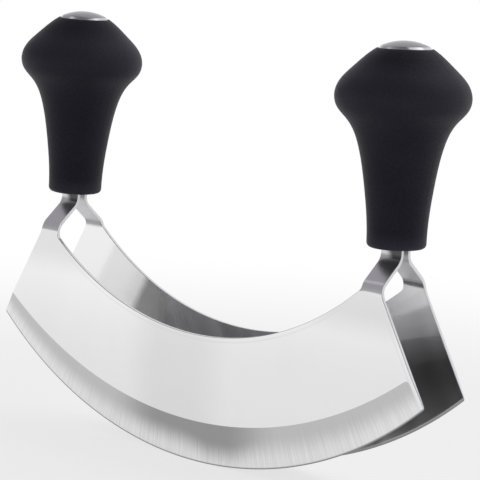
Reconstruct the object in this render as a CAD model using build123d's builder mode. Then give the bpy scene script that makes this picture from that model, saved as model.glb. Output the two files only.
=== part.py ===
from build123d import *

import os
from math import radians, sqrt, tan

# Two-bladed mezzaluna with two upright knob handles. Two crescent blades stand side by side.
# A flat tang rises from each end of each blade, bends in to the middle and runs up into a
# handle, so each handle holds one tang of either blade. A handle is a hard core with a slot
# for each tang, a cross pin through core and tangs, a soft grip moulded over the core and a
# domed steel cap pressed into the top.
#
# Millimetres. +X runs along the blades, +Y from the front blade to the rear one and +Z up.
# The origin is on the board, midway between the lowest points of the two cutting edges.

# Blades
blade_length = 180.0
blade_thickness = 1.2
blades_across = 22.1
edge_radius = 135.6
spine_height = 41.2
spine_radius = 100.8
back_aside = 1.4
tip_round = 0.8

# Grinding of the outer face, and the fine edge below it
grind_height = 13.3
grind_radius = 140.8
grind_depth = 0.7
fine_edge_height = 0.8

# Tangs, one at each end of each blade. The flare runs down from the tang to the blade's end.
tang_inset = 21.4
tang_width = 7.6
tang_gap = 2.2
bend_above_root = 1.0
tang_slope = 50.0
tang_bend_radius = 4.5
flare_below_root = 0.8
tang_flare_round = 9.0
tang_root_round = 2.0
tang_depth_in_handle = 36.0
tang_end_chamfer = 1.5

# Handles
foot_above_bend = 3.6
handle_lean = 1.25
grip_height = 58.9
knob_radius = 20.3
foot_radius = 8.95
foot_round = 1.5
skin_thickness = 2.1
lip_width = 0.5
slot_clearance = 0.1

# Cross pins
pin_radius = 1.75
pin_height = 20.0
pin_end_chamfer = 0.3
pin_clearance = 0.05

# Caps
cap_radius = 7.9
cap_sunk = 0.8
cap_bevel_height = 0.7
cap_bevel_width = 0.6
cap_dome_height = 1.65
cap_clearance = 0.1
stud_radius = 2.5
stud_length = 9.0
stud_end_chamfer = 0.5
stud_end_room = 0.6

# The outline of a grip as (height, radius). Heights are shares of its whole height. Radii are
# shares of the way out to the knob, from the foot on the neck and from the lip round the cap
# on the shoulder.
neck_shares = (
    (0.104, 0.010),
    (0.207, 0.056),
    (0.311, 0.127),
    (0.415, 0.214),
    (0.519, 0.341),
    (0.581, 0.459),
    (0.643, 0.666),
    (0.706, 0.937),
    (0.768, 1.000),
)
shoulder_shares = (
    (0.830, 0.895),
    (0.903, 0.568),
    (0.975, 0.173),
)


def rise(radius, away):
    """How far a circle of that radius has risen at a distance from its lowest point."""
    return radius - sqrt(radius**2 - away**2)


# Worked out from the sizes above
half_length = blade_length / 2
outer_face = blades_across / 2
blade_middle = outer_face - blade_thickness / 2
tang_middle = (tang_gap + blade_thickness) / 2
tang_centre = half_length - tang_inset
tang_inner = tang_centre - tang_width / 2
tang_outer = tang_centre + tang_width / 2
tip_height = rise(edge_radius, half_length)
left_root = spine_height + rise(spine_radius, tang_inner - back_aside)
right_root = spine_height + rise(spine_radius, tang_inner + back_aside)
flare_top = right_root - flare_below_root
bend_foot = right_root + bend_above_root
bend_head = bend_foot + (blade_middle - tang_middle) / tan(radians(tang_slope))
handle_foot = bend_head + foot_above_bend
tang_top = handle_foot + tang_depth_in_handle
cap_seat = grip_height - cap_sunk
lip_radius = cap_radius + cap_clearance
lip_outside = lip_radius + lip_width
dome_foot = (cap_radius - cap_bevel_width, grip_height + cap_bevel_height)
dome_top = grip_height + cap_bevel_height + cap_dome_height
pin_length = 2 * (foot_radius - skin_thickness)
overrun = blade_thickness


def write(piece, name):
    """Labels a finished piece and writes it under that name."""
    piece.part.label = name
    export_step(piece.part, f"parts/{name}.step")


def handle_place(side):
    """The foot of a handle, with its axis leaning in towards the other handle."""
    foot = Plane(origin=(side * tang_centre, 0, handle_foot))
    return foot.rotated((0, -side * handle_lean, 0)).location


def outline(inset, top_height):
    """Points up the side of a grip as (radius, height), drawn in by inset and ending at top_height."""
    points = [(foot_radius - inset, 0)]
    for start_radius, shares in ((foot_radius, neck_shares), (lip_outside, shoulder_shares)):
        for up, out in shares:
            points.append((start_radius + (knob_radius - start_radius) * out - inset, top_height * up))
    return [*points, (lip_outside - inset, top_height)]


os.makedirs("parts", exist_ok=True)

# What the grinding leaves of a blade: a disc that tapers on the outer face, ends in a fine
# edge ground from both sides and runs on from the inner face to the middle. Each station is
# a depth and the circle there, by its lowest point and radius.
with BuildPart() as ground_disc:
    fine_edge = ((0, fine_edge_height), edge_radius - fine_edge_height)
    stations = (
        (outer_face, (-back_aside, grind_height), grind_radius),
        (outer_face - grind_depth, *fine_edge),
        (outer_face - (grind_depth + blade_thickness) / 2, (0, 0), edge_radius),
        (outer_face - blade_thickness, *fine_edge),
        (0, *fine_edge),
    )
    for near, far in zip(stations, stations[1:]):
        for depth, lowest, radius in (near, far):
            with BuildSketch(Plane.XZ.offset(depth)):
                with Locations(lowest):
                    Circle(radius, align=(Align.CENTER, Align.MIN))
        loft(ruled=True)

with BuildPart() as front_blade:
    # The bent sheet, seen from its end
    with BuildSketch(Plane.YZ.offset(-half_length)):
        with BuildLine():
            FilletPolyline(
                (-blade_middle, 0),
                (-blade_middle, bend_foot),
                (-tang_middle, bend_head),
                (-tang_middle, tang_top),
                radius=tang_bend_radius,
            )
        trace(line_width=blade_thickness)
    extrude(amount=blade_length)

    # The stamped outline, seen from the front. The lowest point of its back lies to the left.
    with BuildSketch(Plane.XZ) as stamping:
        with BuildLine():
            ThreePointArc((-half_length, tip_height), (0, 0), (half_length, tip_height))
            Polyline(
                (half_length, tip_height),
                (tang_outer, flare_top),
                (tang_outer, tang_top),
                (tang_inner, tang_top),
                (tang_inner, right_root),
            )
            ThreePointArc(
                (tang_inner, right_root),
                (-back_aside, spine_height),
                (-tang_inner, left_root),
            )
            Polyline(
                (-tang_inner, left_root),
                (-tang_inner, tang_top),
                (-tang_outer, tang_top),
                (-tang_outer, flare_top),
                (-half_length, tip_height),
            )
        make_face()
        for side, root in ((-1, left_root), (1, right_root)):
            for corner, radius in (
                ((side * half_length, tip_height), tip_round),
                ((side * tang_outer, flare_top), tang_flare_round),
                ((side * tang_inner, root), tang_root_round),
            ):
                fillet(stamping.vertices().sort_by_distance(Vector(*corner))[0], radius)
        chamfer(stamping.vertices().group_by(Axis.Y)[-1], tang_end_chamfer)
    extrude(amount=blades_across, mode=Mode.INTERSECT)
    add(ground_disc.part, mode=Mode.INTERSECT)

    # Holes for the cross pins
    for side in (-1, 1):
        with Locations(handle_place(side)):
            with Locations(Location((0, 0, pin_height), (90, 0, 0))):
                Cylinder(pin_radius + pin_clearance, blades_across, mode=Mode.SUBTRACT)

# The rear blade is the front one turned round
with BuildPart() as rear_blade:
    add(front_blade.part, rotation=(0, 0, 180))

# A core, standing at the origin
with BuildPart() as upright_core:
    with BuildSketch(Plane.XZ):
        with BuildLine():
            core_side = Spline(*outline(skin_thickness, cap_seat))
            Polyline(core_side @ 1, (0, cap_seat), (0, 0), core_side @ 0)
        make_face()
    revolve(axis=Axis.Z)

# The soft grip round it, with a recess for the cap
with BuildPart() as upright_grip:
    with BuildSketch(Plane.XZ):
        with BuildLine():
            grip_side = Spline(*outline(0, grip_height))
            Polyline(grip_side @ 1, (0, grip_height), (0, 0), grip_side @ 0)
        make_face()
    revolve(axis=Axis.Z)
    fillet(upright_grip.edges().group_by(Axis.Z)[0], foot_round)
    add(upright_core.part, mode=Mode.SUBTRACT)
    with BuildSketch(Plane.XY.offset(cap_seat)):
        Circle(lip_radius)
    extrude(amount=cap_sunk, mode=Mode.SUBTRACT)

# The cap, a disc with a bevelled rim and a dome on it, and a stud below
with BuildPart() as upright_cap:
    with BuildSketch(Plane.XZ):
        with BuildLine():
            Polyline((0, cap_seat), (cap_radius, cap_seat), (cap_radius, grip_height), dome_foot)
            TangentArc((0, dome_top), dome_foot, tangent=(1, 0))
            Line((0, dome_top), (0, cap_seat))
        make_face()
    revolve(axis=Axis.Z)
    with BuildSketch(Plane.XY.offset(cap_seat)):
        Circle(stud_radius)
    extrude(amount=-stud_length)
    chamfer(upright_cap.edges().group_by(Axis.Z)[0], stud_end_chamfer)

with BuildPart() as upright_pin:
    with Locations(Location((0, 0, pin_height), (90, 0, 0))):
        Cylinder(pin_radius, pin_length)
    chamfer(upright_pin.edges().filter_by(GeomType.CIRCLE), pin_end_chamfer)

write(front_blade, "front_blade")
write(rear_blade, "rear_blade")

for side, hand in ((-1, "left"), (1, "right")):
    with BuildPart() as core:
        with Locations(handle_place(side)):
            add(upright_core.part)
            with Locations((0, 0, cap_seat)):
                Hole(stud_radius, stud_length + stud_end_room)
            with Locations(Location((0, 0, pin_height), (90, 0, 0))):
                Hole(pin_radius + pin_clearance)
        # The tangs stand upright, and so do their slots
        with BuildSketch(Plane.XY.offset(handle_foot - overrun)):
            with Locations((side * tang_centre, 0)):
                with GridLocations(0, 2 * tang_middle, 1, 2):
                    Rectangle(tang_width + 2 * slot_clearance, blade_thickness + 2 * slot_clearance)
        extrude(amount=tang_depth_in_handle + slot_clearance + overrun, mode=Mode.SUBTRACT)
    write(core, f"{hand}_core")

    for upright, name in ((upright_grip, "grip"), (upright_cap, "cap"), (upright_pin, "pin")):
        with BuildPart() as piece:
            with Locations(handle_place(side)):
                add(upright.part)
        write(piece, f"{hand}_{name}")
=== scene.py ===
import logging
from collections.abc import Callable, Iterable
from dataclasses import dataclass, field
from enum import Enum
from math import asin, atan2, cos, radians, sin, sqrt, tan

import bmesh
import bpy
from mathutils import Matrix, Vector


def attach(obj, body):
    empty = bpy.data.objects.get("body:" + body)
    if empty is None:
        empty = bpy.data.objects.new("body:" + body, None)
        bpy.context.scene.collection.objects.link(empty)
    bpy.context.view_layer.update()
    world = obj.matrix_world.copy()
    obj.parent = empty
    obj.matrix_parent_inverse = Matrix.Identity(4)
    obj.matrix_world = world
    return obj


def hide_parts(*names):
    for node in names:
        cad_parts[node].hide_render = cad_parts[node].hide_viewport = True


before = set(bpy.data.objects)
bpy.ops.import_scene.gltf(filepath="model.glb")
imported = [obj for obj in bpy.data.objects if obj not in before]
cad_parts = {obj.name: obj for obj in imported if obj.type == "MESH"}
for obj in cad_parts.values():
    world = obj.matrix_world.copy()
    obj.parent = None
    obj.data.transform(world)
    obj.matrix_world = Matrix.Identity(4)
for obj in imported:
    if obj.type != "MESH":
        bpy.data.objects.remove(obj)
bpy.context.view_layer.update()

# A two-bladed mezzaluna with two upright knob handles, in a plain white studio. Sizes are in
# millimetres and are turned into metres where a mesh, lamp or camera is made.

MM = 0.001
BODY = "root"
log = logging.getLogger("mezzaluna")

# Points closer than this are one: in metres on a finished mesh, and in millimetres on a blade
TOUCHING = 1e-7
NEAR = 0.001

# The Mix node's colour sockets, which share their names with its sockets for numbers
MIX_COLOURS = (6, 7)
MIXED_COLOUR = 2

# A Fade is where something starts to show and where it shows in full
Colour = tuple[float, float, float]
Point = tuple[float, float, float]
Fade = tuple[float, float]


class Slot(Enum):
    """The record's material slots of the pieces that are rebuilt."""

    BLADE = "blade_steel"
    GRIP = "soft_grip"
    CAP = "cap_steel"


class Side(Enum):
    """An end of the blades, by the sign of its place along X."""

    LEFT = -1
    RIGHT = 1

    @property
    def word(self) -> str:
        """The side's name as the CAD nodes use it."""
        return self.name.lower()


class Facing(Enum):
    """Which way a blade's outer face looks, by the sign of its Y."""

    FRONT = -1
    REAR = 1

    @property
    def word(self) -> str:
        """The facing's name as the CAD nodes use it."""
        return self.name.lower()


class Value:
    """A number on a socket, on which Python's operators add Math nodes."""

    def __init__(self, shader: "Shader", socket: bpy.types.NodeSocket) -> None:
        """Wraps a socket.

        Args:
            shader: The tree that the socket belongs to.
            socket: An output that carries a number.
        """
        self.shader = shader
        self.socket = socket

    def __add__(self, other: "Number") -> "Value":
        """Adds."""
        return self.shader.maths("ADD", self, other)

    __radd__ = __add__

    def __sub__(self, other: "Number") -> "Value":
        """Takes the other away."""
        return self.shader.maths("SUBTRACT", self, other)

    def __rsub__(self, other: "Number") -> "Value":
        """Is taken away from the other."""
        return self.shader.maths("SUBTRACT", other, self)

    def __mul__(self, other: "Number") -> "Value":
        """Multiplies."""
        return self.shader.maths("MULTIPLY", self, other)

    __rmul__ = __mul__

    def __truediv__(self, other: "Number") -> "Value":
        """Divides by the other."""
        return self.shader.maths("DIVIDE", self, other)

    def __pow__(self, other: "Number") -> "Value":
        """Raises to a power."""
        return self.shader.maths("POWER", self, other)

    def __abs__(self) -> "Value":
        """Drops the sign."""
        return self.shader.maths("ABSOLUTE", self)

    def __gt__(self, other: "Number") -> "Value":
        """One where it is greater than the other, and zero elsewhere."""
        return self.shader.maths("GREATER_THAN", self, other)

    def __lt__(self, other: "Number") -> "Value":
        """One where it is less than the other, and zero elsewhere."""
        return self.shader.maths("LESS_THAN", self, other)

    def eased(self, start: float, full: float) -> "Value":
        """Changes smoothly from zero at start to one at full.

        Args:
            start: Where it is still zero.
            full: Where it is one, above start or below it.

        Returns:
            The eased value.
        """
        made = self.shader.node(
            "ShaderNodeMapRange",
            {"interpolation_type": "SMOOTHSTEP"},
            {"Value": self, "From Min": start, "From Max": full},
        )
        return Value(self.shader, made.outputs["Result"])


Number = Value | float


def flat_length(first: Value, second: Value) -> Value:
    """The length of a flat vector, from its two numbers."""
    return (first * first + second * second) ** 0.5


def shaded(colour: Colour, share: float) -> Colour:
    """A colour times a share."""
    return tuple(c * share for c in colour)


class Shader:
    """The node tree of one material or of the world."""

    def __init__(self, owner: bpy.types.Material | bpy.types.World) -> None:
        """Clears the owner's tree.

        Args:
            owner: The material or world to make nodes for.
        """
        owner.use_nodes = True
        self.tree = owner.node_tree
        self.tree.nodes.clear()

    def node(
        self, kind: str, settings: dict | None = None, inputs: dict | None = None
    ) -> bpy.types.Node:
        """Makes one node.

        Args:
            kind: The node's type.
            settings: Its settings by name, with a ramp's stops under "stops".
            inputs: Its sockets by name or number, each with a value, a socket or a Value.

        Returns:
            The node.
        """
        made = self.tree.nodes.new(kind)
        for name, value in (settings or {}).items():
            if name == "stops":
                self.set_stops(made.color_ramp, value)
            else:
                setattr(made, name, value)
        for key, value in (inputs or {}).items():
            if isinstance(value, Value):
                value = value.socket
            if isinstance(value, bpy.types.NodeSocket):
                self.tree.links.new(value, made.inputs[key])
            else:
                made.inputs[key].default_value = value
        return made

    @staticmethod
    def set_stops(ramp: bpy.types.ColorRamp, stops: Iterable[tuple[float, Colour]]) -> None:
        """Gives a ramp its stops.

        Args:
            ramp: The ramp, with the stops of a new node.
            stops: Places from 0 to 1, each with a colour.
        """
        for number, (place, colour) in enumerate(stops):
            there = number < len(ramp.elements)
            stop = ramp.elements[number] if there else ramp.elements.new(place)
            stop.position = place
            stop.color = (*colour, 1.0)

    def maths(self, operation: str, *operands: Number) -> Value:
        """Adds a Math node.

        Args:
            operation: The node's operation.
            operands: Its inputs.

        Returns:
            The result.
        """
        made = self.node("ShaderNodeMath", {"operation": operation}, dict(enumerate(operands)))
        return Value(self, made.outputs["Value"])

    def mixed(self, share: Number, first: object, second: object) -> bpy.types.NodeSocket:
        """Mixes two colours.

        Args:
            share: How much of the second shows.
            first: A colour or a colour socket.
            second: A colour or a colour socket.

        Returns:
            The mixed colour's socket.
        """
        colours = [(*c, 1.0) if isinstance(c, tuple) else c for c in (first, second)]
        inputs = {"Factor": share, **dict(zip(MIX_COLOURS, colours))}
        return self.node("ShaderNodeMix", {"data_type": "RGBA"}, inputs).outputs[MIXED_COLOUR]

    def shades(self, share: Number, colour: Colour, spread: float) -> bpy.types.NodeSocket:
        """A colour that gets darker and lighter.

        Args:
            share: From 0 where it is darkest to 1 where it is lightest.
            colour: The colour in the middle.
            spread: The share of it that is taken off and added.

        Returns:
            The colour's socket.
        """
        return self.mixed(share, shaded(colour, 1 - spread), shaded(colour, 1 + spread))

    def place(self) -> bpy.types.NodeSocket:
        """The point on the object, in millimetres.

        Returns:
            A vector socket.
        """
        found = self.node("ShaderNodeTexCoord").outputs["Object"]
        inputs = {0: found, 1: (1 / MM, 1 / MM, 1 / MM)}
        made = self.node("ShaderNodeVectorMath", {"operation": "MULTIPLY"}, inputs)
        return made.outputs["Vector"]

    def facing(self) -> tuple[Value, Value, Value]:
        """Which way the surface faces, as X, Y and Z."""
        return self.split(self.node("ShaderNodeTexCoord").outputs["Normal"])

    def split(self, vector: bpy.types.NodeSocket) -> tuple[Value, Value, Value]:
        """The three numbers of a vector.

        Args:
            vector: A vector socket.

        Returns:
            X, Y and Z.
        """
        made = self.node("ShaderNodeSeparateXYZ", inputs={0: vector})
        return tuple(Value(self, made.outputs[k]) for k in "XYZ")

    def joined(self, x: Number, y: Number, z: Number) -> bpy.types.NodeSocket:
        """A vector of three numbers.

        Args:
            x: The first.
            y: The second.
            z: The third.

        Returns:
            A vector socket.
        """
        return self.node("ShaderNodeCombineXYZ", inputs={"X": x, "Y": y, "Z": z}).outputs["Vector"]

    def noise(
        self, vector: bpy.types.NodeSocket, scale: float, detail: float = 2.0, rough: float = 0.5
    ) -> Value:
        """Soft random cloud from 0 to 1.

        Args:
            vector: Where it is read.
            scale: How many clouds fit in one unit of the vector.
            detail: How many finer layers it has.
            rough: How strong the finer layers are.

        Returns:
            The value.
        """
        inputs = {"Vector": vector, "Scale": scale, "Detail": detail, "Roughness": rough}
        return Value(self, self.node("ShaderNodeTexNoise", inputs=inputs).outputs["Fac"])

    def bump(self, height: Value, depth: float) -> bpy.types.NodeSocket:
        """A normal that follows a height.

        Args:
            height: The height, from 0 to 1.
            depth: What a height of 1 stands for, in millimetres.

        Returns:
            The normal's socket.
        """
        inputs = {"Height": height, "Distance": depth * MM, "Strength": 1.0}
        return self.node("ShaderNodeBump", inputs=inputs).outputs["Normal"]

    def surface(self, inputs: dict) -> None:
        """Ends the tree in a Principled shader.

        Args:
            inputs: The shader's sockets and their values.
        """
        made = self.node("ShaderNodeBsdfPrincipled", inputs=inputs)
        self.node("ShaderNodeOutputMaterial", inputs={"Surface": made.outputs["BSDF"]})


@dataclass(frozen=True)
class BladeShape:
    """The sizes of a blade and its tangs, seen from its outer side with X to the right."""

    half_length: float = 90.0
    thickness: float = 1.2
    outer_face: float = 11.05
    edge_radius: float = 135.6
    fine_edge_height: float = 0.8
    grind_height: float = 13.3
    grind_radius: float = 140.8
    grind_depth: float = 0.7
    spine_height: float = 41.2
    spine_radius: float = 100.8
    back_aside: float = 1.4
    tang_centre: float = 68.6
    tang_width: float = 7.6
    tang_gap: float = 2.2
    # Heights up a tang: its outer corner, its two bends and its end in the handle
    flare_top: float = 65.186
    bend_foot: float = 66.986
    bend_head: float = 74.328
    bend_slope: float = 50.0
    tang_top: float = 113.928
    handle_foot: float = 77.928
    handle_lean: float = 1.25
    pin_aside: float = 0.436
    pin_height: float = 97.924

    @property
    def fine_radius(self) -> float:
        """The radius of the line where the fine edge begins."""
        return self.edge_radius - self.fine_edge_height

    @property
    def edge_centre(self) -> Vector:
        """The middle of the cutting edge's circle."""
        return Vector((0, self.edge_radius))

    @property
    def grind_centre(self) -> Vector:
        """The middle of the circle in which the grinding ends."""
        return Vector((-self.back_aside, self.grind_height + self.grind_radius))

    @property
    def spine_centre(self) -> Vector:
        """The middle of the back's circle."""
        return Vector((-self.back_aside, self.spine_height + self.spine_radius))

    @property
    def tip(self) -> Vector:
        """The right end of the cutting edge."""
        drop = sqrt(self.edge_radius**2 - self.half_length**2)
        return Vector((self.half_length, self.edge_radius - drop))

    @property
    def tang_inner(self) -> float:
        """How far a tang's inner side is from the middle."""
        return self.tang_centre - self.tang_width / 2

    @property
    def tang_outer(self) -> float:
        """How far a tang's outer side is from the middle."""
        return self.tang_centre + self.tang_width / 2

    @property
    def end(self) -> Vector:
        """The blade's straight right end, from its tip to the tang."""
        return Vector((self.tang_outer, self.flare_top)) - self.tip

    @property
    def pin(self) -> Vector:
        """The middle of the right cross pin."""
        return Vector((self.tang_centre - self.pin_aside, self.pin_height))


@dataclass
class OnBlade:
    """Where a point lies on its blade, as values that the marks of the steel follow.

    Attributes:
        own: How far right it lies, as the blade is seen from its outer side.
        from_grind: How far below the upper end of the grinding.
        from_spine: How far below the back.
        from_fine: How far above the fine edge.
        from_end: How far in from the straight ends.
        from_right: The same, from the right end alone.
        outside: One on the outer face.
        inside: One on the inner face, up to the bends.
        cut: One on the stamped edges.
        outward: One where it faces out, and zero where it faces the other blade.
    """

    shader: Shader
    facing: Facing
    shape: BladeShape
    outer_share: float = 0.85
    inner_reach: float = 10.1
    bend_fade: Fade = (67.0, 65.0)
    cut_fade: Fade = (0.55, 0.3)
    end_height: float = 34.172
    end_normal: tuple[float, float] = (0.8697, 0.4936)
    open_end: float = 50.0
    cloud_scale: float = 0.045
    cloud_layers: float = 4.0
    cloud_rough: float = 0.6
    smudge_fade: Fade = (0.3, 0.7)
    smudge_spread: float = 0.2

    def __post_init__(self) -> None:
        """Adds the nodes that the marks share."""
        shader, shape = self.shader, self.shape
        point = shader.place()
        self.x, self.y, self.z = shader.split(point)
        self.own = self.x * -self.facing.value
        self.across = self.own + shape.back_aside
        self.down = shape.grind_centre.y - self.z
        spine_down = shape.spine_centre.y - self.z
        self.from_grind = flat_length(self.across, self.down) - shape.grind_radius
        self.from_spine = flat_length(self.across, spine_down) - shape.spine_radius
        self.from_fine = shape.fine_radius - flat_length(self.x, shape.edge_radius - self.z)
        out, up = self.end_normal
        reach = shape.half_length * out + self.end_height * up
        self.from_end = reach - (abs(self.x) * out + self.z * up)
        self.from_right = self.from_end + (self.own < 0.0) * self.open_end
        self.outside = abs(self.y) > shape.outer_face - shape.thickness * self.outer_share
        self.inside = (abs(self.y) < self.inner_reach) * self.z.eased(*self.bend_fade)
        self.flat = shader.facing()[1]
        self.cut = abs(self.flat).eased(*self.cut_fade)
        self.outward = (self.flat * self.y) > 0.0
        self.cloud = shader.noise(point, self.cloud_scale, self.cloud_layers, self.cloud_rough)
        self.smudge = (self.cloud.eased(*self.smudge_fade) - 0.5) * self.smudge_spread


@dataclass(frozen=True)
class OuterFace:
    """The outer face, with painted shade in the middle, at its left end and below the tangs."""

    polished: Colour = (0.9, 0.9, 0.9)
    middle_shade: Colour = (0.795, 0.795, 0.795)
    under_tang_shade: Colour = (0.75, 0.75, 0.75)
    middle_shade_place: float = -8.0
    middle_shade_fade: Fade = (26.0, 6.0)
    middle_shade_share: float = 0.9
    left_fade: Fade = (-40.0, -75.0)
    left_share: float = 0.35
    under_tang_shade_fade: Fade = (49.5, 60.0)
    rim_shade: float = 0.8
    rim_share: float = 0.35
    rim_width: float = 0.45
    rim_fade: Fade = (62.0, 55.0)

    def colour(self, on: OnBlade, border: float) -> bpy.types.NodeSocket:
        """The face's colour, with a faint painted reflection line along its border.

        Args:
            on: Where a point lies.
            border: How wide the border along the back and the right end is.

        Returns:
            A colour socket.
        """
        mixed = on.shader.mixed
        # Painted shade: the face is greyer in a band across the middle, standing for a darker
        # reflection
        middle_shade = abs(on.own - self.middle_shade_place).eased(*self.middle_shade_fade) * self.middle_shade_share
        # Painted shade: the face also turns greyer towards its left end
        left = on.own.eased(*self.left_fade) * self.left_share
        face = mixed(middle_shade + left + on.smudge, self.polished, self.middle_shade)
        # Painted shade in the corners below the tangs
        face = mixed(on.z.eased(*self.under_tang_shade_fade), face, self.under_tang_shade)
        # Painted reflection: a faint darker line along the back and the right end, as a rounded
        # rim would mirror
        from_rim = on.shader.maths("MINIMUM", on.from_spine, on.from_right)
        line = abs(from_rim - border).eased(self.rim_width, 0.0) * on.outside
        line = line * on.z.eased(*self.rim_fade) * self.rim_share
        return mixed(line, face, shaded(self.polished, self.rim_shade))


@dataclass(frozen=True)
class InnerFace:
    """The inner face, with painted reflections: darker in the middle and in a ring where it
    mirrors the other blade, and painted reflection bands that make one end less of a mirror.
    """

    reflection_banded: bool
    bright: Colour = (0.88, 0.88, 0.88)
    ring: Colour = (0.34, 0.34, 0.342)
    middle: Colour = (0.57, 0.57, 0.575)
    ring_height: float = 46.0
    ring_lean: float = 0.5
    ring_fade: Fade = (47.5, 42.5)
    middle_fade: Fade = (35.0, 27.0)
    roughness: float = 0.07
    ring_roughness: float = 0.08
    film: float = 0.03
    dim_middle: float = 0.55
    dim_middle_least: float = 0.3
    dim_middle_reach: Fade = (42.0, 28.0)
    dim_middle_fade: Fade = (0.3, 0.7)
    dim_middle_scale: tuple[float, float] = (0.09, 0.02)
    dim_middle_lean: float = 0.05
    far_fade: Fade = (-30.0, -45.0)
    reflection_bands_at_end: float = 0.8
    reflection_bands_growth: float = 0.05
    reflection_bands_pivot: float = 7.0
    reflection_bands_lean: float = 0.28
    reflection_bands_base: float = 30.0
    reflection_bands_span: float = 40.0
    reflection_bands_stops: tuple[tuple[float, float], ...] = (
        (30.0, 0.03),
        (34.0, 0.022),
        (38.0, 0.006),
        (42.5, 0.004),
        (44.0, 0.03),
        (47.0, 0.075),
        (48.2, 0.10),
        (49.8, 0.15),
        (50.6, 0.34),
        (53.2, 0.43),
        (54.0, 0.50),
        (56.8, 0.58),
        (57.4, 0.66),
        (66.0, 0.62),
    )

    def in_ring(self, on: OnBlade) -> Value:
        """One inside the dark ring, a painted reflection of the other blade."""
        return (abs(on.x) + (on.z - self.ring_height) * self.ring_lean).eased(*self.ring_fade)

    def at_far_end(self, on: OnBlade) -> Value:
        """One at the end with the painted reflection bands."""
        return on.own.eased(*self.far_fade) * float(self.reflection_banded)

    def colour(self, on: OnBlade) -> bpy.types.NodeSocket:
        """The face's colour.

        Args:
            on: Where a point lies.

        Returns:
            A colour socket.
        """
        # Painted reflection: the dark ring and the darker middle stand for the two blades
        # mirroring each other
        face = on.shader.mixed(self.in_ring(on) * (1 - on.smudge), self.bright, self.ring)
        return on.shader.mixed(abs(on.x).eased(*self.middle_fade), face, self.middle)

    def reflection_bands(self, on: OnBlade) -> Value:
        """The far end's painted reflection bands, which lean towards the end.

        Args:
            on: Where a point lies.

        Returns:
            Its strength.
        """
        # Painted reflection: bands by height, where less of the mirror shows, stand for the
        # reflections between the blades
        height = on.z + (on.from_end - self.reflection_bands_pivot) * self.reflection_bands_lean
        stops = [((s - self.reflection_bands_base) / self.reflection_bands_span, (v, v, v)) for s, v in self.reflection_bands_stops]
        share = (height - self.reflection_bands_base) * (1 / self.reflection_bands_span)
        ramp = on.shader.node("ShaderNodeValToRGB", {"stops": stops}, {"Fac": share})
        bands = Value(on.shader, ramp.outputs["Color"])
        return bands * (on.from_end * self.reflection_bands_growth + self.reflection_bands_at_end)

    def dullness(self, on: OnBlade) -> Value:
        """How much of the mirror is lost.

        Args:
            on: Where a point lies.

        Returns:
            The share.
        """
        # Painted reflection: less of the mirror in the middle, in soft random patches, darkens it
        # as the blades mirroring each other would
        across, up = self.dim_middle_scale
        place = on.shader.joined(on.x * across + on.z * self.dim_middle_lean, on.z * up, 0.0)
        cloud = on.shader.noise(place, 1.0, 1.0).eased(*self.dim_middle_fade) + self.dim_middle_least
        dim_middle = abs(on.x).eased(*self.dim_middle_reach) * self.dim_middle * cloud
        far = self.at_far_end(on)
        lost = far * self.reflection_bands(on) + (1 - far) * self.film + dim_middle
        return lost * on.inside * (1 - on.cut)

    def blur(self, on: OnBlade) -> Value:
        """The roughness that the face adds to the polish.

        Args:
            on: Where a point lies.

        Returns:
            The roughness.
        """
        ring = self.in_ring(on) * self.ring_roughness
        return (ring + (1 - self.at_far_end(on)) * self.roughness) * on.inside


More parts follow.
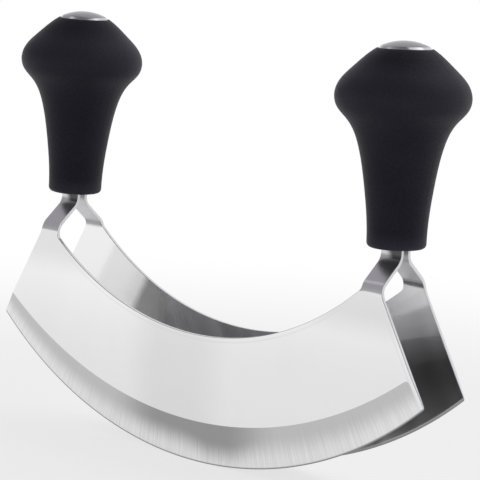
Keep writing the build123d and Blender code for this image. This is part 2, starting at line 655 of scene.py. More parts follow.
@dataclass(frozen=True)
class Grinding:
    """The ground band, with fine lines across it, a painted reflection from light at the edge to
    grey at its upper end with a painted dark stretch, and the fine edge below.
    """

    low: Colour = (0.92, 0.92, 0.92)
    high: Colour = (0.63, 0.63, 0.63)
    dark: Colour = (0.36, 0.36, 0.362)
    scratch: Colour = (0.4, 0.4, 0.405)
    fine: Colour = (0.3, 0.3, 0.305)
    roughness: float = 0.28
    start: Fade = (-0.05, 0.1)
    corner: float = 2.5
    dark_fade: Fade = (37.0, 14.0)
    shade_spot_place: float = 13.0
    shade_spot_fade: Fade = (18.0, 3.0)
    shade_spot: float = 0.2
    high_fade: Fade = (0.08, 0.78)
    uneven: float = 0.25
    scratch_fade: Fade = (0.35, 0.75)
    scratch_share: float = 0.3
    line_width: float = 0.22
    line_stretch: float = 0.04
    line_layers: float = 3.0
    line_rough: float = 0.6
    line_depth: float = 0.004
    fine_fade: Fade = (-0.2, -0.55)
    inner_fine_fade: Fade = (0.0, -0.1)

    def band(self, on: OnBlade, border: float) -> Value:
        """One on the band, which ends in a rounded corner at the right end.

        Args:
            on: Where a point lies.
            border: How far it ends before the right end.

        Returns:
            The mask.
        """
        inset = on.from_right - border
        ground = on.shader.maths("SMOOTH_MIN", on.from_grind, inset, self.corner)
        return ground.eased(*self.start) * on.outside

    def lines(self, on: OnBlade) -> Value:
        """Fine lines that run from the edge to the upper end of the band.

        Args:
            on: Where a point lies.

        Returns:
            Their strength.
        """
        turn = on.shader.maths("ARCTAN2", on.across, on.down)
        along = turn * (on.shape.grind_radius / self.line_width)
        place = on.shader.joined(along, on.from_grind * self.line_stretch, 0.0)
        return on.shader.noise(place, 1.0, self.line_layers, self.line_rough)

    def colour(self, on: OnBlade, lines: Value) -> bpy.types.NodeSocket:
        """The band's colour, a painted reflection from light at the edge to dark at its upper end.

        Args:
            on: Where a point lies.
            lines: The fine lines.

        Returns:
            A colour socket.
        """
        mixed = on.shader.mixed
        # Painted reflection: the band's upper part is greyer, and darker still along a stretch in
        # the middle
        high = mixed(abs(on.own).eased(*self.dark_fade), self.high, self.dark)
        # Painted shade: a darker patch reaches lower just right of the middle
        shade_spot = abs(on.own - self.shade_spot_place).eased(*self.shade_spot_fade) * self.shade_spot
        share = on.from_fine / (on.from_fine + on.from_grind)
        share = share + shade_spot + (lines - 0.5) * self.uneven
        grey = mixed(share.eased(*self.high_fade), self.low, high)
        return mixed(lines.eased(*self.scratch_fade) * self.scratch_share, grey, self.scratch)

    def on_fine_edge(self, on: OnBlade) -> Value:
        """One on the fine edge."""
        inner = on.from_fine.eased(*self.inner_fine_fade) * on.inside
        return on.shader.maths("MAXIMUM", on.from_fine.eased(*self.fine_fade), inner)


@dataclass(frozen=True)
class TangSteel:
    """Satin tangs, with painted shade and a painted reflection of the grip at the neck below a
    handle, and painted shade along the inner fold.
    """

    satin: Colour = (0.68, 0.675, 0.685)
    neck: Colour = (0.09, 0.088, 0.09)
    fold: Colour = (0.3, 0.3, 0.305)
    outer_roughness: float = 0.22
    inner_roughness: float = 0.34
    start: Fade = (64.5, 68.0)
    neck_start: Fade = (74.4, 75.2)
    neck_height: float = 75.5
    neck_lean: float = 0.5
    neck_fade: Fade = (-1.8, 1.2)
    fold_height: float = 66.6
    fold_fade: Fade = (1.6, 0.3)
    fold_share: float = 0.75

    def colour(self, on: OnBlade, blade: bpy.types.NodeSocket) -> bpy.types.NodeSocket:
        """The tangs' colour over the blade's.

        Args:
            on: Where a point lies.
            blade: The blade's colour.

        Returns:
            A colour socket.
        """
        mixed = on.shader.mixed
        centre = on.shape.tang_centre
        beside = on.own - (on.own > 0.0) * (2 * centre) + centre
        slanted = beside + (on.z - self.neck_height) * self.neck_lean
        # Painted shade and painted reflection of the grip on the outer face of the neck, below the
        # handle
        neck = on.z.eased(*self.neck_start) * slanted.eased(*self.neck_fade) * on.outward
        # Painted shade along the inner fold of the lower bend
        fold = abs(on.z - self.fold_height).eased(*self.fold_fade) * (1 - on.outward)
        steel = mixed(on.z.eased(*self.start), blade, self.satin)
        return mixed(neck, mixed(fold * self.fold_share, steel, self.fold), self.neck)

    def blur(self, on: OnBlade) -> Value:
        """The roughness that the tangs add to the polish.

        Args:
            on: Where a point lies.

        Returns:
            The roughness.
        """
        inner = (1 - on.outward) * self.inner_roughness
        satin = on.shader.maths("MAXIMUM", on.outward * self.outer_roughness, inner)
        return on.z.eased(*self.start) * satin


@dataclass(frozen=True)
class CutEdge:
    """The stamped edges, with a dark line along their rounding."""

    colour: Colour = (0.78, 0.78, 0.785)
    line: Colour = (0.34, 0.34, 0.345)
    roughness: float = 0.3
    dullness: float = 0.35
    face_fade: Fade = (0.97, 0.85)
    cut_fade: Fade = (0.2, 0.4)
    top_fade: Fade = (65.5, 64.0)
    left_fade: Fade = (-62.0, -46.0)
    left_share: float = 0.4

    def rounding(self, on: OnBlade) -> Value:
        """One on the rounding between a face and a cut edge, and less at the left end.

        Args:
            on: Where a point lies.

        Returns:
            The mask.
        """
        flat = abs(on.flat)
        round_part = flat.eased(*self.face_fade) * flat.eased(*self.cut_fade)
        by_side = on.own.eased(*self.left_fade) * (1 - self.left_share) + self.left_share
        return round_part * on.z.eased(*self.top_fade) * by_side


@dataclass(frozen=True)
class GroundSteel:
    """Polished blade steel, with the ground band along its outer face.

    Its marks lie alike on both blades, as each is seen from its own outer side.
    """

    facing: Facing
    shape: BladeShape
    inner: InnerFace
    outer: OuterFace = OuterFace()
    grinding: Grinding = Grinding()
    tangs: TangSteel = TangSteel()
    edges: CutEdge = CutEdge()
    border: float = 1.4
    roughness: float = 0.05
    roughness_spread: float = 0.02

    def material(self) -> bpy.types.Material:
        """Makes the material.

        Returns:
            The blade's material.
        """
        made = bpy.data.materials.new(f"{self.facing.word}_blade_steel")
        shader = Shader(made)
        on = OnBlade(shader, self.facing, self.shape)
        mixed = shader.mixed

        lines = self.grinding.lines(on)
        band = self.grinding.band(on, self.border)
        steel = mixed(on.inside, self.outer.colour(on, self.border), self.inner.colour(on))
        steel = mixed(band, self.tangs.colour(on, steel), self.grinding.colour(on, lines))
        steel = mixed(self.grinding.on_fine_edge(on), steel, self.grinding.fine)
        steel = mixed(on.cut, steel, self.edges.colour)

        polish = on.cloud * self.roughness_spread + self.roughness
        polish = polish + self.tangs.blur(on) + self.inner.blur(on)
        ground, stamped = band * self.grinding.roughness, on.cut * self.edges.roughness
        worked = shader.maths("MAXIMUM", ground, stamped)
        shader.surface(
            {
                "Base Color": mixed(self.edges.rounding(on), steel, self.edges.line),
                "Metallic": 1 - self.inner.dullness(on) - on.cut * self.edges.dullness,
                "Roughness": shader.maths("MAXIMUM", polish, worked),
                "Normal": shader.bump(lines * band, self.grinding.line_depth),
            }
        )
        return made


@dataclass(frozen=True)
class SoftGrip:
    """Near-black soft-touch skin with a fine grain, greyer at its widest as painted light from
    above, and paler near its foot.
    """

    colour: Colour = (0.0026, 0.0024, 0.004)
    pale: Colour = (0.0125, 0.0118, 0.0165)
    lit_and_pale_skin: Colour = (0.034, 0.032, 0.042)
    sheen: Colour = (0.7, 0.68, 1.0)
    glint: Colour = (0.78, 0.75, 1.0)
    glint_level: float = 0.2
    sheen_weight: float = 0.05
    sheen_roughness: float = 0.3
    grain: float = 1.6
    grain_layers: float = 4.0
    grain_rough: float = 0.7
    grain_depth: float = 0.09
    cloud: float = 0.08
    grain_share: float = 0.8
    cloud_share: float = 0.4
    pale_fade: Fade = (0.35, 0.85)
    widest: float = 126.0
    widest_fade: Fade = (9.5, 2.0)
    widest_share: float = 0.75
    foot: float = 77.9
    foot_fade: Fade = (6.0, 0.5)
    lit_and_pale_least: float = 0.4
    roughness: float = 0.55
    roughness_spread: float = 0.1

    def material(self) -> bpy.types.Material:
        """Makes the material.

        Returns:
            The grips' material.
        """
        made = bpy.data.materials.new("soft_touch_skin")
        shader = Shader(made)
        point = shader.place()
        grain = shader.noise(point, self.grain, self.grain_layers, self.grain_rough)
        cloud = shader.noise(point, self.cloud)
        pale = grain * self.grain_share + cloud * self.cloud_share
        colour = shader.mixed(pale.eased(*self.pale_fade), self.colour, self.pale)
        height = shader.split(point)[2]
        # Painted light at the widest part, where light from above falls; near the foot the skin is
        # only made paler
        widest = abs(height - self.widest).eased(*self.widest_fade) * self.widest_share
        lit_and_pale = widest + (height - self.foot).eased(*self.foot_fade)
        lit_and_pale = lit_and_pale * (grain * (1 - self.lit_and_pale_least) + self.lit_and_pale_least)
        shader.surface(
            {
                "Base Color": shader.mixed(lit_and_pale, colour, self.lit_and_pale_skin),
                "Roughness": (cloud - 0.5) * self.roughness_spread + self.roughness,
                "Normal": shader.bump(grain, self.grain_depth),
                "Specular IOR Level": self.glint_level,
                "Specular Tint": (*self.glint, 1.0),
                "Sheen Weight": self.sheen_weight,
                "Sheen Roughness": self.sheen_roughness,
                "Sheen Tint": (*self.sheen, 1.0),
            }
        )
        return made


@dataclass(frozen=True)
class CapSteel:
    """Polished steel of a cap, with painted reflection: darker on the dome than on the bevelled
    rim.
    """

    dome: Colour = (0.235, 0.23, 0.25)
    rim: Colour = (0.6, 0.59, 0.6)
    rim_fade: Fade = (0.88, 0.78)
    cloud: float = 0.4
    cloud_layers: float = 3.0
    colour_spread: float = 0.1
    roughness: float = 0.2
    roughness_spread: float = 0.06

    def material(self) -> bpy.types.Material:
        """Makes the material.

        Returns:
            The caps' material.
        """
        made = bpy.data.materials.new("cap_steel_polish")
        shader = Shader(made)
        cloud = shader.noise(shader.place(), self.cloud, self.cloud_layers)
        # Painted reflection: a dark dome and a light rim, set by which way the surface faces
        dome = shader.shades(cloud, self.dome, self.colour_spread)
        upward = shader.facing()[2]
        shader.surface(
            {
                "Base Color": shader.mixed(upward.eased(*self.rim_fade), dome, self.rim),
                "Metallic": 1.0,
                "Roughness": (cloud - 0.5) * self.roughness_spread + self.roughness,
            }
        )
        return made


@dataclass(frozen=True)
class PlainFinish:
    """A finish with one colour, a light cloud over it and a fine bump."""

    name: str
    colour: Colour
    metallic: float
    roughness: float
    grain: float = 1.5
    grain_layers: float = 3.0
    grain_depth: float = 0.01
    colour_spread: float = 0.15
    roughness_spread: float = 0.1

    def material(self) -> bpy.types.Material:
        """Makes the material.

        Returns:
            The material.
        """
        made = bpy.data.materials.new(self.name)
        shader = Shader(made)
        grain = shader.noise(shader.place(), self.grain, self.grain_layers)
        shader.surface(
            {
                "Base Color": shader.shades(grain, self.colour, self.colour_spread),
                "Metallic": self.metallic,
                "Roughness": (grain - 0.5) * self.roughness_spread + self.roughness,
                "Normal": shader.bump(grain, self.grain_depth),
            }
        )
        return made


def merged_copy(node: str) -> bmesh.types.BMesh:
    """Copies a CAD node's mesh, with its loose triangles joined.

    Args:
        node: The node's name.

    Returns:
        A bmesh in metres, in the frame's place.
    """
    made = bmesh.new()
    made.from_mesh(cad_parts[node].data)
    bmesh.ops.remove_doubles(made, verts=made.verts, dist=TOUCHING)
    return made


def section(made: bmesh.types.BMesh) -> None:
    """Leaves only the right half of a round shape's outline, cut through its axis.

    Args:
        made: A closed round shape that stands upright on the origin.
    """
    whole = [*made.verts, *made.edges, *made.faces]
    cut = bmesh.ops.bisect_plane(
        made, geom=whole, dist=TOUCHING, plane_co=(0, 0, 0), plane_no=(0, 1, 0)
    )
    kept = {e for e in cut["geom_cut"] if isinstance(e, bmesh.types.BMEdge)}
    loose = [e for e in made.edges if e not in kept]
    bmesh.ops.delete(made, geom=made.faces[:], context="FACES_ONLY")
    bmesh.ops.delete(made, geom=loose, context="EDGES")
    left = [v for v in made.verts if v.co.x < -TOUCHING]
    bmesh.ops.delete(made, geom=left, context="VERTS")


def turned(made: bmesh.types.BMesh, steps: int) -> None:
    """Spins an outline round Z into a closed shape.

    Args:
        made: The outline, in the XZ plane.
        steps: How many steps a whole turn has.
    """
    bmesh.ops.spin(
        made,
        geom=[*made.verts, *made.edges],
        cent=(0, 0, 0),
        axis=(0, 0, 1),
        angle=radians(360),
        steps=steps,
        use_merge=True,
    )
    bmesh.ops.remove_doubles(made, verts=made.verts, dist=TOUCHING)
    bmesh.ops.recalc_face_normals(made, faces=made.faces)


def rounded(
    made: bmesh.types.BMesh,
    edges: list[bmesh.types.BMEdge],
    offset: float,
    segments: int,
    clamped: bool,
) -> list[bmesh.types.BMVert]:
    """Rounds edges.

    Args:
        made: The mesh.
        edges: Its edges to round.
        offset: How far the rounding reaches, in the mesh's units.
        segments: How many faces lie across it.
        clamped: Whether it gives way where roundings would overlap.

    Returns:
        The new points.
    """
    done = bmesh.ops.bevel(
        made,
        geom=edges,
        offset=offset,
        offset_type="OFFSET",
        affect="EDGES",
        segments=segments,
        profile=0.5,
        material=-1,
        clamp_overlap=clamped,
    )
    return done["verts"]


def on_arc(centre: Vector, radius: float, turn: float) -> Vector:
    """The point of a circle at an angle to the right of its lowest point.

    Args:
        centre: The circle's middle.
        radius: The circle's radius.
        turn: The angle.

    Returns:
        The point.
    """
    return centre + Vector((sin(turn), -cos(turn))) * radius


def bent_past(edge: bmesh.types.BMEdge, angle: float) -> bool:
    """Whether the faces beside a closed edge turn by more than an angle, in degrees."""
    return len(edge.link_faces) == 2 and edge.calc_face_angle() > radians(angle)


def finished(
    made: bmesh.types.BMesh,
    name: str,
    node: str,
    slot: Slot,
    material: bpy.types.Material,
    sharp: Callable[[bmesh.types.BMEdge], bool],
) -> bpy.types.Object:
    """Turns a bmesh into a piece that stands for a CAD node.

    Args:
        made: The mesh, in metres, in its place.
        name: The piece's name.
        node: The CAD node that it stands for.
        slot: The record's slot of its finish. It is not used.
        material: Its material.
        sharp: Says whether an edge is sharp.

    Returns:
        The piece.
    """
    for face in made.faces:
        face.smooth = True
    for edge in made.edges:
        edge.smooth = not sharp(edge)
    mesh = bpy.data.meshes.new(name)
    made.to_mesh(mesh)
    made.free()
    mesh.materials.append(material)
    piece = bpy.data.objects.new(name, mesh)
    bpy.context.scene.collection.objects.link(piece)
    weighted = piece.modifiers.new("flat_faces_stay_flat", "WEIGHTED_NORMAL")
    weighted.keep_sharp = True
    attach(piece, BODY)
    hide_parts(node)
    log.info("%s: %d faces", name, len(mesh.polygons))
    return piece


def dress(node: str, material: bpy.types.Material) -> None:
    """Gives a CAD node a material.

    Args:
        node: The node's name.
        material: What it gets.
    """
    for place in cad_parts[node].material_slots:
        place.material = material
    log.info("%s: dressed in %s", node, material.name)


@dataclass
class Blade:
    """One stamped blade with its two tangs, bent in to the middle.

    It is shaped as the front blade, seen from the front, and the rear one is turned round.
    """

    facing: Facing
    shape: BladeShape
    steel: GroundSteel
    grind_hollow: float = 0.06
    flare_round: float = 9.0
    root_round: float = 2.0
    bend_radius: float = 4.5
    tang_chamfer: float = 1.5
    hole_radius: float = 1.95
    tip_cut: float = 0.3
    edge_round: float = 0.16
    round_steps: int = 3
    stamped_angle: float = 60.0
    crease: float = 35.0
    line_reach: float = 0.005
    spine_steps: int = 132
    tang_steps: int = 4
    round_rows: int = 12
    bend_row: float = 0.3
    body_shares: tuple[float, ...] = (0.0, 0.04, 0.15, 0.4, 0.7, 1.0)
    ground_shares: tuple[float, ...] = (0.0, 0.25, 0.5, 0.75, 1.0)

    def __post_init__(self) -> None:
        """Works out where the rounding between the straight end and a tang lies."""
        end = self.shape.end
        slope = atan2(-end.x, end.y)
        self.flare_end = self.shape.flare_top + self.flare_round * tan(slope / 2)
        self.flare_foot = self.flare_end - self.flare_round * sin(slope)
        self.lines: set[bmesh.types.BMEdge] = set()

    def on_end(self, side: Side, centre: Vector, radius: float) -> Vector:
        """Where a circle meets the straight end of the blade.

        Args:
            side: Which end.
            centre: The circle's middle.
            radius: The circle's radius.

        Returns:
            The point.
        """
        sign = Vector((side.value, 1))
        start = self.shape.tip * sign - centre
        along = self.shape.end.normalized() * sign
        middle = -start.dot(along)
        reach = sqrt(max(radius**2 - (start.length_squared - middle**2), 0))
        places = sorted((middle - reach, middle + reach), key=abs)
        return centre + start + along * places[0]

    def on_circle(self, share: float, centre: Vector, radius: float) -> Vector:
        """A point along a circle, from the left end of the blade to the right one.

        Args:
            share: How far along, from 0 to 1.
            centre: The circle's middle.
            radius: The circle's radius.

        Returns:
            The point.
        """
        low, high = (asin((self.on_end(s, centre, radius) - centre).x / radius) for s in Side)
        return on_arc(centre, radius, low + (high - low) * share)

    def root(self, side: Side, share: float) -> Vector:
        """A point on the rounding between the spine and a tang.

        Args:
            side: Which tang.
            share: From 0 on the spine to 1 on the tang.

        Returns:
            The point.
        """
        spine = self.shape.spine_centre
        x = side.value * (self.shape.tang_inner - self.root_round)
        drop = sqrt((self.shape.spine_radius - self.root_round) ** 2 - (x - spine.x) ** 2)
        centre = Vector((x, spine.y - drop))
        outward = centre - spine
        start = atan2(side.value * outward.x, -outward.y)
        turn = start + (radians(90) - start) * share
        return on_arc(centre, self.root_round, side.value * turn)

    def flared(self, side: Side, height: float) -> Vector:
        """A point on a tang's outer side, with its rounding into the straight end.

        Args:
            side: Which tang.
            height: The height, from the foot of the rounding up.

        Returns:
            The point.
        """
        drop = max(self.flare_end - height, 0)
        x = self.shape.tang_outer + self.flare_round - sqrt(self.flare_round**2 - drop**2)
        return Vector((side.value * x, height))

    def top(self, number: int) -> Vector:
        """A point along the top of the body: the foot of a tang, the spine and the other foot.

        Args:
            number: Which point, from the left.

        Returns:
            The point.
        """
        feet = [self.flared(side, self.flare_foot) for side in Side]
        roots = [self.root(side, 0) for side in Side]
        if number < self.tang_steps:
            return feet[0].lerp(roots[0], number / self.tang_steps)
        number -= self.tang_steps
        if number > self.spine_steps:
            return roots[1].lerp(feet[1], (number - self.spine_steps) / self.tang_steps)
        spine, radius = self.shape.spine_centre, self.shape.spine_radius
        low, high = (asin((root - spine).x / radius) for root in roots)
        return on_arc(spine, radius, low + (high - low) * number / self.spine_steps)

    def body(self, made: bmesh.types.BMesh) -> None:
        """Adds the body of the blade, from the edge to the spine, as a flat grid.

        Args:
            made: Where it goes.
        """
        shape = self.shape
        half_turn = asin(shape.half_length / shape.edge_radius) - self.tip_cut / shape.edge_radius
        steps = self.spine_steps + 2 * self.tang_steps
        ground = len(self.ground_shares) - 1
        rows = ground + len(self.body_shares)
        grid = bmesh.ops.create_grid(made, x_segments=steps, y_segments=rows, size=0.5)
        for vert in grid["verts"]:
            number = round((vert.co.x + 0.5) * steps)
            row = round((vert.co.y + 0.5) * rows) - 1
            share = number / steps
            fine = self.on_circle(share, shape.edge_centre, shape.fine_radius)
            grind = self.on_circle(share, shape.grind_centre, shape.grind_radius)
            if row < 0:
                turn = half_turn * (2 * share - 1)
                point = on_arc(shape.edge_centre, shape.edge_radius, turn)
            elif row <= ground:
                point = fine.lerp(grind, self.ground_shares[row])
            else:
                point = grind.lerp(self.top(number), self.body_shares[row - ground])
            vert.co = (point.x, 0, point.y)

    def tang_rows(self, side: Side) -> list[tuple[Vector, Vector]]:
        """The rows of a tang, each as its outer and its inner point.

        Args:
            side: Which tang.

        Returns:
            The rows from the foot up.
        """
        shape = self.shape
        level = self.root(side, 1).y
        rows = []
        for share in (n / self.round_rows for n in range(self.round_rows + 1)):
            height = self.flare_foot + (level - self.flare_foot) * share
            rows.append((self.flared(side, height), self.root(side, share)))
        count = round((shape.bend_head + self.bend_radius - level) / self.bend_row)
        heights = [level + self.bend_row * n for n in range(1, count + 1)]
        heights += [shape.pin_height + n * shape.tang_width / self.tang_steps for n in (-1, 0, 1)]
        heights += [shape.tang_top - self.tang_chamfer, shape.tang_top]
        for height in heights:
            cut = Vector((self.tang_chamfer if height == heights[-1] else 0, 0)) * side.value
            inner = Vector((side.value * shape.tang_inner, height))
            rows.append((self.flared(side, height) - cut, inner + cut))
        return rows

    def tang(self, made: bmesh.types.BMesh, side: Side) -> None:
        """Adds one tang as a flat grid, with the hole for its cross pin.

        Args:
            made: Where it goes.
            side: Which tang.
        """
        rows = self.tang_rows(side)
        last = len(rows) - 1
        grid = bmesh.ops.create_grid(made, x_segments=self.tang_steps, y_segments=last, size=0.5)
        for vert in grid["verts"]:
            outer, inner = rows[round((vert.co.y + 0.5) * last)]
            point = outer.lerp(inner, vert.co.x + 0.5)
            vert.co = (point.x, 0, point.y)
        pin = Vector((side.value * self.shape.pin.x, 0, self.shape.pin.y))
        middle = min(grid["verts"], key=lambda v: (v.co - pin).length)
        ring = {v for f in middle.link_faces for v in f.verts} - {middle}
        centre = middle.co.copy()
        for vert in ring:
            vert.co = pin + (vert.co - centre).normalized() * self.hole_radius
        bmesh.ops.delete(made, geom=[middle], context="VERTS")

    def sheet_face(self, height: float, outside: bool) -> float:
        """Where a face of the bent sheet lies in Y.

        Args:
            height: The height.
            outside: Whether it is the outer face.

        Returns:
            Its Y on the front blade.
        """
        shape = self.shape
        half = shape.thickness / 2
        slope = radians(shape.bend_slope)
        run = self.bend_radius * tan(slope / 2)
        low = Vector((self.bend_radius + half - shape.outer_face, shape.bend_foot - run))
        high = Vector((-(shape.tang_gap / 2 + half) - self.bend_radius, shape.bend_head + run))
        low_radius = self.bend_radius + (half if outside else -half)
        high_radius = self.bend_radius - (half if outside else -half)
        low_end = low + Vector((-cos(slope), sin(slope))) * low_radius
        high_end = high + Vector((cos(slope), -sin(slope))) * high_radius
        if height <= low_end.y:
            return low.x - sqrt(low_radius**2 - max(height - low.y, 0) ** 2)
        if height >= high_end.y:
            return high.x + sqrt(high_radius**2 - max(high.y - height, 0) ** 2)
        share = (height - low_end.y) / (high_end.y - low_end.y)
        return low_end.lerp(high_end, share).x

    def face_place(self, point: Vector, outside: bool) -> float:
        """Where a face of the blade lies in Y, with the grinding taken off.

        Args:
            point: The point as X and Z.
            outside: Whether it is the outer face.

        Returns:
            Its Y on the front blade.
        """
        shape = self.shape
        from_fine = shape.fine_radius - (point - shape.edge_centre).length
        if from_fine < -NEAR:
            return (shape.grind_depth + shape.thickness) / 2 - shape.outer_face
        from_grind = (point - shape.grind_centre).length - shape.grind_radius
        if not outside or from_grind <= 0:
            return self.sheet_face(point.y, outside)
        share = max(from_fine, 0) / (max(from_fine, 0) + from_grind)
        hollow = 4 * self.grind_hollow * share * (1 - share)
        return shape.grind_depth * (1 - share) + hollow - shape.outer_face

    def is_stamped(self, edge: bmesh.types.BMEdge) -> bool:
        """Whether an edge is a stamped one, above the fine edge and below the handle.

        Args:
            edge: The edge.

        Returns:
            True if it is.
        """
        top = self.shape.bend_head + self.bend_radius
        if not bent_past(edge, self.stamped_angle) or any(v.co.z >= top for v in edge.verts):
            return False
        ends = (Vector((v.co.x, v.co.z)) - self.shape.edge_centre for v in edge.verts)
        return all(end.length < self.shape.fine_radius + NEAR for end in ends)

    def is_line(self, edge: bmesh.types.BMEdge) -> bool:
        """Whether an edge lies along the cutting edge, the fine edge or the end of the grinding.

        Args:
            edge: The edge.

        Returns:
            True if it does.
        """
        shape = self.shape
        ends = [Vector((v.co.x, v.co.z)) for v in edge.verts]
        for centre, radius in (
            (shape.grind_centre, shape.grind_radius),
            (shape.edge_centre, shape.fine_radius),
            (shape.edge_centre, shape.edge_radius),
        ):
            if all(abs((e - centre).length - radius) < self.line_reach for e in ends):
                return True
        return False

    def sharp(self, edge: bmesh.types.BMEdge) -> bool:
        """Whether an edge shows as a line."""
        return len(edge.link_faces) != 2 or bent_past(edge, self.crease) or edge in self.lines

    def sheet(self) -> bmesh.types.BMesh:
        """The bent and ground sheet, with sharp edges.

        Returns:
            The front blade as a bmesh, in millimetres.
        """
        made = bmesh.new()
        self.body(made)
        for side in Side:
            self.tang(made, side)
        bmesh.ops.remove_doubles(made, verts=made.verts, dist=NEAR)
        thick = bmesh.ops.extrude_face_region(made, geom=made.faces[:], use_keep_orig=True)
        inner = {v for v in thick["geom"] if isinstance(v, bmesh.types.BMVert)}
        for vert in made.verts:
            vert.co.y = self.face_place(Vector((vert.co.x, vert.co.z)), vert not in inner)
        bmesh.ops.remove_doubles(made, verts=made.verts, dist=NEAR)
        bmesh.ops.recalc_face_normals(made, faces=made.faces)
        return made

    def build(self) -> bpy.types.Object:
        """Makes the blade with rounded stamped edges.

        Returns:
            The piece.
        """
        made = self.sheet()
        stamped = [e for e in made.edges if self.is_stamped(e)]
        rounded(made, stamped, self.edge_round, self.round_steps, clamped=False)
        self.lines = {e for e in made.edges if self.is_line(e)}
        counts = (len(stamped), len(self.lines))
        log.info("%s: %d edges rounded, %d drawn as lines", self.facing.word, *counts)
        if self.facing is Facing.REAR:
            half_turn = Matrix.Rotation(radians(180), 3, "Z")
            bmesh.ops.rotate(made, verts=made.verts, cent=(0, 0, 0), matrix=half_turn)
        bmesh.ops.scale(made, verts=made.verts, vec=(MM, MM, MM))
        node = f"{self.facing.word}_blade"
        steel = self.steel.material()
        return finished(made, f"{node}_ground", node, Slot.BLADE, steel, self.sharp)


@dataclass
class Handle:
    """One knob handle: soft grip, cap, core and cross pin."""

    side: Side
    shape: BladeShape
    skin: bpy.types.Material
    polish: bpy.types.Material
    plastic: bpy.types.Material
    wire: bpy.types.Material
    steps: int = 96
    seam: float = 0.02
    parting_width: float = 0.14
    parting_depth: float = 0.05
    parting_steps: int = 2
    outward_share: float = 0.05
    rim_round: float = 0.2
    rim_steps: int = 3
    rim_angle: float = 20.0
    crease: float = 40.0

    def place(self) -> Matrix:
        """Where the upright handle goes, with its lean.

        Returns:
            The matrix, in metres.
        """
        spot = Vector((self.side.value * self.shape.tang_centre, 0, self.shape.handle_foot)) * MM
        lean = radians(-self.side.value * self.shape.handle_lean)
        return Matrix.Translation(spot) @ Matrix.Rotation(lean, 4, "Y")

    def upright(self, node: str) -> bmesh.types.BMesh:
        """One of the handle's nodes as a closed round shape, upright on the origin.

        Args:
            node: The node's name.

        Returns:
            The shape as a bmesh.
        """
        made = merged_copy(node)
        bmesh.ops.transform(made, matrix=self.place().inverted(), verts=made.verts)
        section(made)
        bmesh.ops.remove_doubles(made, verts=made.verts, dist=self.seam * MM)
        turned(made, self.steps)
        return made

    def creased(self, edge: bmesh.types.BMEdge) -> bool:
        """Whether an edge is sharp."""
        return len(edge.link_faces) != 2 or bent_past(edge, self.crease)

    def on_parting(self, edge: bmesh.types.BMEdge) -> bool:
        """Whether an edge lies on the mould's parting plane, on the outside of the grip.

        Args:
            edge: The edge.

        Returns:
            True if it does.
        """
        if any(abs(v.co.y) > TOUCHING for v in edge.verts):
            return False
        middle = (edge.verts[0].co + edge.verts[1].co) / 2
        normal = sum((f.normal for f in edge.link_faces), Vector())
        return normal.x * middle.x > self.outward_share * normal.length * abs(middle.x)

    def grip(self) -> bpy.types.Object:
        """Makes the soft grip, with the fine groove of the mould's parting line.

        Returns:
            The piece.
        """
        node = f"{self.side.word}_grip"
        made = self.upright(node)
        parting = [e for e in made.edges if self.on_parting(e)]
        width = self.parting_width * MM
        groove = rounded(made, parting, width, self.parting_steps, clamped=True)
        made.normal_update()
        for vert in groove:
            if vert.is_valid and abs(vert.co.y) < TOUCHING:
                vert.co -= vert.normal * self.parting_depth * MM
        bmesh.ops.transform(made, matrix=self.place(), verts=made.verts)
        return finished(made, f"{node}_skin", node, Slot.GRIP, self.skin, self.creased)

    def cap(self) -> bpy.types.Object:
        """Makes the domed cap, with its edges rounded.

        Returns:
            The piece.
        """
        node = f"{self.side.word}_cap"
        made = self.upright(node)
        rims = [e for e in made.edges if bent_past(e, self.rim_angle)]
        rounded(made, rims, self.rim_round * MM, self.rim_steps, clamped=True)
        bmesh.ops.transform(made, matrix=self.place(), verts=made.verts)
        return finished(made, f"{node}_polished", node, Slot.CAP, self.polish, self.creased)

    def build(self) -> None:
        """Makes and dresses the handle's pieces."""
        self.grip()
        self.cap()
        dress(f"{self.side.word}_core", self.plastic)
        dress(f"{self.side.word}_pin", self.wire)


@dataclass
class Lamp:
    """A soft square lamp."""

    name: str
    place: Point
    aim: Point
    size: float
    power: float
    colour: Colour = (1.0, 1.0, 1.0)

    def build(self) -> None:
        """Makes the lamp."""
        data = bpy.data.lights.new(self.name, "AREA")
        data.shape = "SQUARE"
        data.size = self.size * MM
        data.energy = self.power
        data.color = self.colour
        lamp = bpy.data.objects.new(self.name, data)
        bpy.context.scene.collection.objects.link(lamp)
        place = Vector(self.place) * MM
        turn = (Vector(self.aim) * MM - place).to_track_quat("-Z", "Y")
        lamp.matrix_world = Matrix.Translation(place) @ turn.to_matrix().to_4x4()


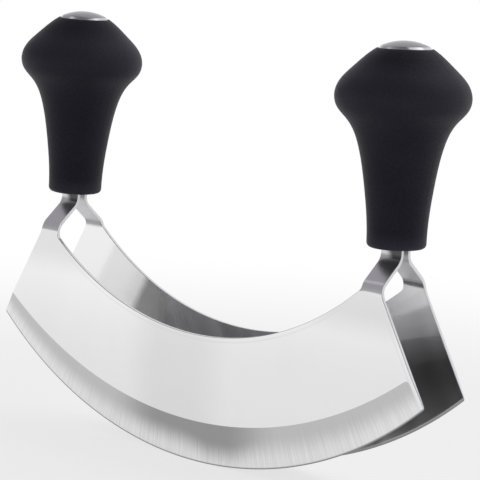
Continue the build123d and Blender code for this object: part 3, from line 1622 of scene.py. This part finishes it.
@dataclass
class Studio:
    """White floor, white surroundings and soft lamps."""

    floor_size: float = 6000.0
    floor_colour: Colour = (0.9, 0.9, 0.9)
    shadow_share: float = 0.3
    shadow_fade: Fade = (420.0, 120.0)
    white: Colour = (1.0, 1.0, 1.0)
    backlight: Colour = (0.93, 0.93, 0.95)
    backlight_fade: Fade = (0.2, 0.5)
    sky_stops: tuple[tuple[float, Colour], ...] = (
        (0.0, (0.9, 0.9, 0.9)),
        (0.505, (0.95, 0.95, 0.95)),
        (0.53, (0.50, 0.49, 0.51)),
        (0.72, (0.42, 0.41, 0.44)),
        (0.90, (0.42, 0.41, 0.44)),
        (1.0, (0.16, 0.16, 0.165)),
    )
    lamps: list[Lamp] = field(
        default_factory=lambda: [
            Lamp("right_lamp", (400, 200, 660), (400, 200, 0), 500, 0.62),
            Lamp("left_lamp", (-261, -140, 486), (0, 0, 140), 110, 0.02),
        ]
    )

    def floor_material(self) -> bpy.types.Material:
        """A white that stays white in the picture and in mirrors, with a share of the shadow.

        Returns:
            The floor's material.
        """
        made = bpy.data.materials.new("white_floor")
        shader = Shader(made)
        path = shader.node("ShaderNodeLightPath")
        seen, mirrored, through = (
            Value(shader, path.outputs[k])
            for k in ("Is Camera Ray", "Is Glossy Ray", "Is Transmission Ray")
        )
        glow = {"Color": (*self.white, 1.0), "Strength": 1.0}
        glow = shader.node("ShaderNodeEmission", inputs=glow).outputs[0]
        matte = {"Color": (*self.floor_colour, 1.0)}
        matte = shader.node("ShaderNodeBsdfDiffuse", inputs=matte).outputs[0]
        x, y, _ = shader.split(shader.place())
        shadow = flat_length(x, y).eased(*self.shadow_fade) * self.shadow_share
        share = shader.maths("MINIMUM", seen + mirrored + through, 1.0) * (1 - shadow)
        both = shader.node("ShaderNodeMixShader", inputs={0: share, 1: matte, 2: glow})
        shader.node("ShaderNodeOutputMaterial", inputs={"Surface": both.outputs[0]})
        return made

    def floor(self) -> None:
        """Makes the floor."""
        made = bmesh.new()
        bmesh.ops.create_grid(made, x_segments=1, y_segments=1, size=self.floor_size / 2 * MM)
        mesh = bpy.data.meshes.new("studio_floor")
        made.to_mesh(mesh)
        made.free()
        mesh.materials.append(self.floor_material())
        floor = bpy.data.objects.new("studio_floor", mesh)
        bpy.context.scene.collection.objects.link(floor)

    def sky(self) -> None:
        """Makes the surroundings: light all round and behind, and greyer above the front."""
        world = bpy.data.worlds.new("white_room")
        bpy.context.scene.world = world
        shader = Shader(world)
        direction = shader.node("ShaderNodeTexCoord").outputs["Generated"]
        _, back, height = shader.split(direction)
        stops, place = {"stops": self.sky_stops}, {"Fac": height * 0.5 + 0.5}
        grey = shader.node("ShaderNodeValToRGB", stops, place).outputs["Color"]
        seen = Value(shader, shader.node("ShaderNodeLightPath").outputs["Is Camera Ray"])
        around = shader.mixed(back.eased(*self.backlight_fade), grey, self.backlight)
        light = {"Color": shader.mixed(seen, around, self.white), "Strength": 1.0}
        light = shader.node("ShaderNodeBackground", inputs=light).outputs[0]
        shader.node("ShaderNodeOutputWorld", inputs={"Surface": light})

    def build(self) -> None:
        """Makes the whole studio."""
        self.floor()
        self.sky()
        for lamp in self.lamps:
            lamp.build()
        bpy.context.scene.view_settings.view_transform = "Standard"
        log.info("studio: floor, surroundings and %d lamps", len(self.lamps))


@dataclass
class PhotoCamera:
    """The camera, where it stood for the photograph. Its clipping is in metres."""

    yaw: float = 40.99
    pitch: float = 8.58
    roll: float = 3.0
    aim: Point = (0.0, 0.0, 80.0)
    distance: float = 640.98
    aside: float = 4.89
    raised: float = -9.21
    focal_pixels: float = 2010.42
    frame_pixels: float = 480.0
    sensor: float = 36.0
    clip: tuple[float, float] = (0.01, 50.0)

    def build(self) -> None:
        """Makes the camera and sets it as the scene's."""
        yaw, pitch, roll = (radians(a) for a in (self.yaw, self.pitch, self.roll))
        back = Vector((sin(yaw) * cos(pitch), -cos(yaw) * cos(pitch), sin(pitch)))
        level = Vector((cos(yaw), sin(yaw), 0))
        upward = back.cross(level)
        right = cos(roll) * level + sin(roll) * upward
        up = cos(roll) * upward - sin(roll) * level
        eye = Vector(self.aim) + back * self.distance + right * self.aside + up * self.raised
        data = bpy.data.cameras.new("photo_camera")
        data.sensor_width = self.sensor
        data.lens = self.focal_pixels / self.frame_pixels * self.sensor
        data.clip_start, data.clip_end = self.clip
        camera = bpy.data.objects.new("photo_camera", data)
        bpy.context.scene.collection.objects.link(camera)
        turn = Matrix((right, up, back)).transposed().to_4x4()
        camera.matrix_world = Matrix.Translation(eye * MM) @ turn
        bpy.context.scene.camera = camera
        log.info("camera: lens %.1f mm", data.lens)


def main() -> None:
    """Builds the studio and dresses the mezzaluna."""
    logging.basicConfig(level=logging.INFO, format="%(name)s: %(message)s")
    PhotoCamera().build()
    Studio().build()
    shape = BladeShape()
    for facing in Facing:
        inner = InnerFace(reflection_banded=facing is Facing.REAR)
        Blade(facing, shape, GroundSteel(facing, shape, inner)).build()
    skin = SoftGrip().material()
    polish = CapSteel().material()
    plastic = PlainFinish("core_plastic_moulded", (0.03, 0.03, 0.035), 0.0, 0.5).material()
    wire = PlainFinish("pin_steel_drawn", (0.6, 0.6, 0.61), 1.0, 0.35).material()
    for side in Side:
        Handle(side, shape, skin, polish, plastic, wire).build()


if __name__ == "__main__":
    main()
